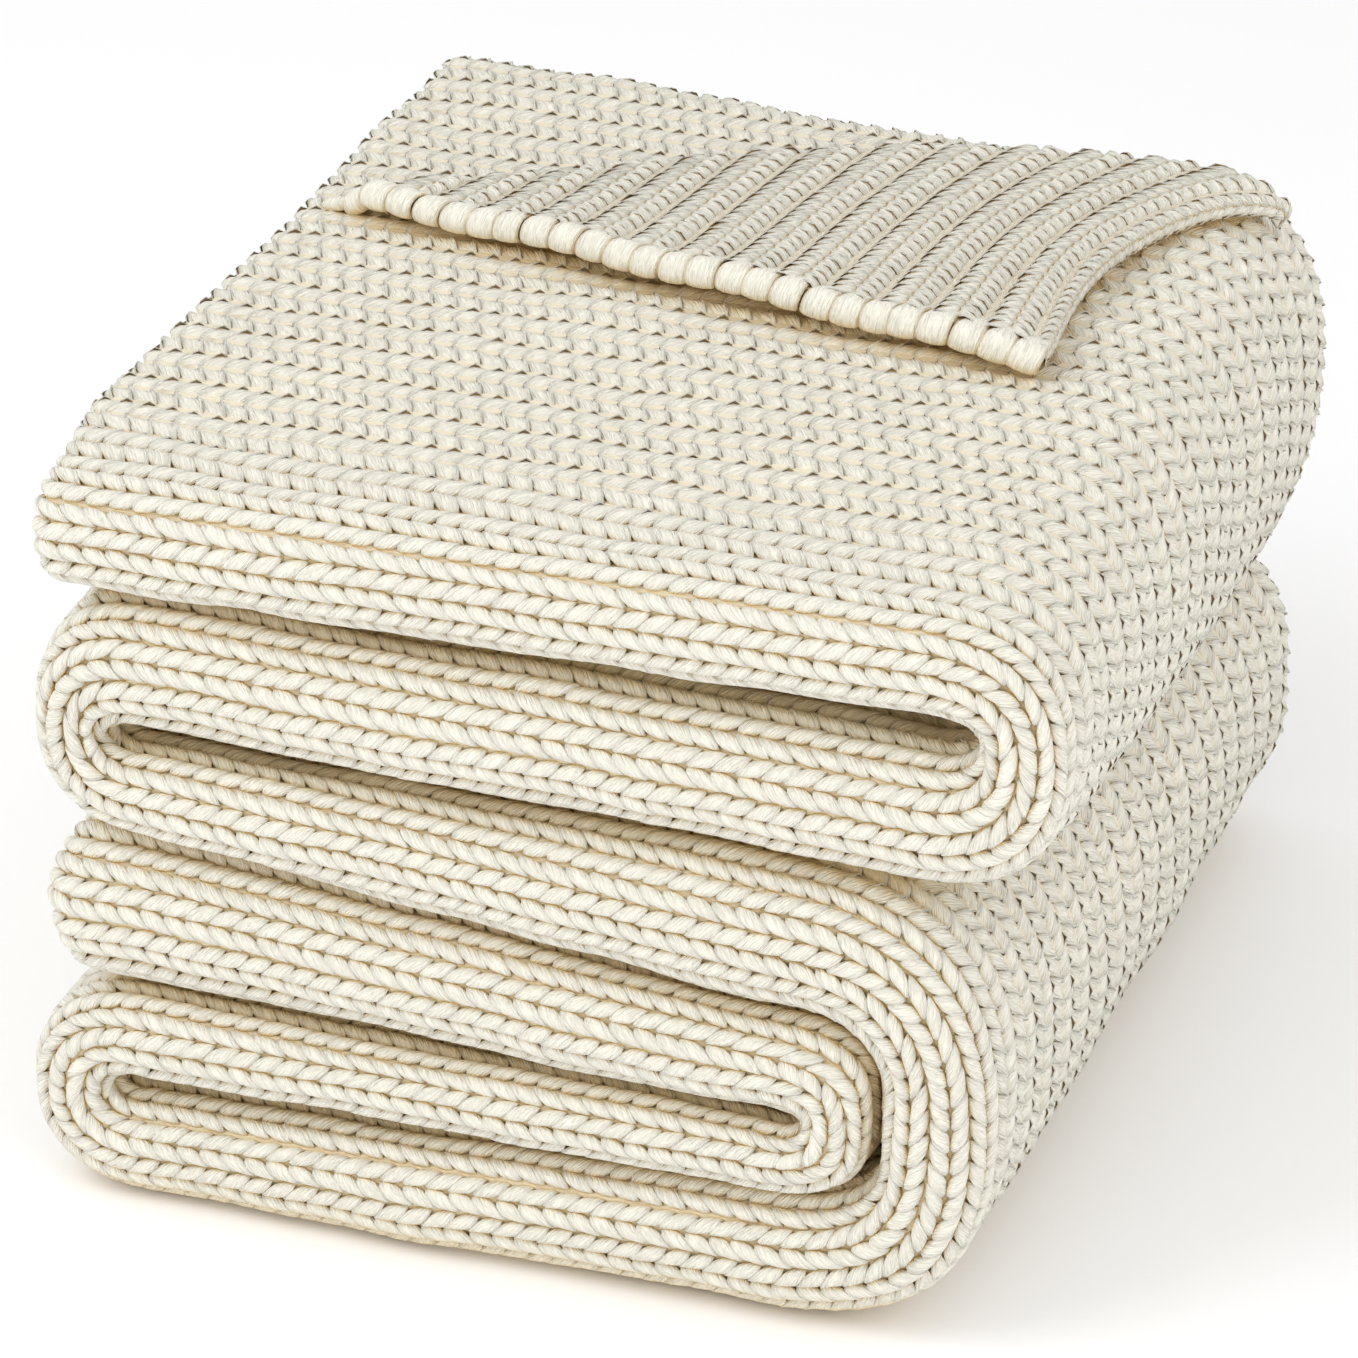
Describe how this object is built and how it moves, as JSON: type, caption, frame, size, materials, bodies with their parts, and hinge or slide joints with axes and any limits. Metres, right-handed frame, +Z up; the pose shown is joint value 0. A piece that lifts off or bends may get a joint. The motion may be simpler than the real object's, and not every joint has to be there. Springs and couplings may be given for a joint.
{
  "type": "folded throw blanket",
  "caption": "Chunky knitted cream throw, folded lengthwise and stacked in layers that open to the right and left, with one corner turned over on top",
  "frame": {"origin": "centre of the underside of the folded stack, on the surface it lies on", "axes": "+X right along the front edge, +Y to the back, +Z up"},
  "size_m": [0.27, 0.296, 0.2124],
  "materials": {
    "knit": "matt chunky knit of low-twist cotton yarn",
    "bound_edge": "matt bound-off knit edge"
  },
  "bodies": {
    "base": {"bottom_panel": "knit", "fifth_panel": "knit", "fourth_panel": "knit", "left_lower_fold": "knit", "right_inner_fold": "knit", "right_outer_fold": "knit", "inner_end_edge": "bound_edge"},
    "third": {"third_panel": "knit", "left_upper_fold": "knit"},
    "second": {"second_panel": "knit", "right_upper_fold": "knit"},
    "top": {"top_panel": "knit", "top_end_edge": "bound_edge"},
    "corner": {"turned_corner": "knit", "bound_off_edge": "bound_edge", "corner_side_edge": "bound_edge"}
  },
  "joints": [
    {"name": "outer_fold", "type": "hinge", "parent": "base", "child": "third", "pos_m": [0.096, 0, 0.054], "axis": [0, 0.9985, -0.0546], "range_deg": [0, 80], "deforming": ["right_outer_fold"]},
    {"name": "left_fold", "type": "hinge", "parent": "third", "child": "second", "pos_m": [-0.115, 0, 0.128], "axis": [0, -0.9996, 0.0286], "range_deg": [0, 80], "deforming": ["left_upper_fold"]},
    {"name": "right_fold", "type": "hinge", "parent": "second", "child": "top", "pos_m": [0.118, 0, 0.1637], "axis": [0, 0.9986, -0.0524], "range_deg": [0, 80], "deforming": ["right_upper_fold"]},
    {"name": "corner_crease", "type": "hinge", "parent": "top", "child": "corner", "pos_m": [0, 0.0836, 0.2115], "axis": [-0.9285, -0.3714, 0], "range_deg": [0, 150]}
  ]
}
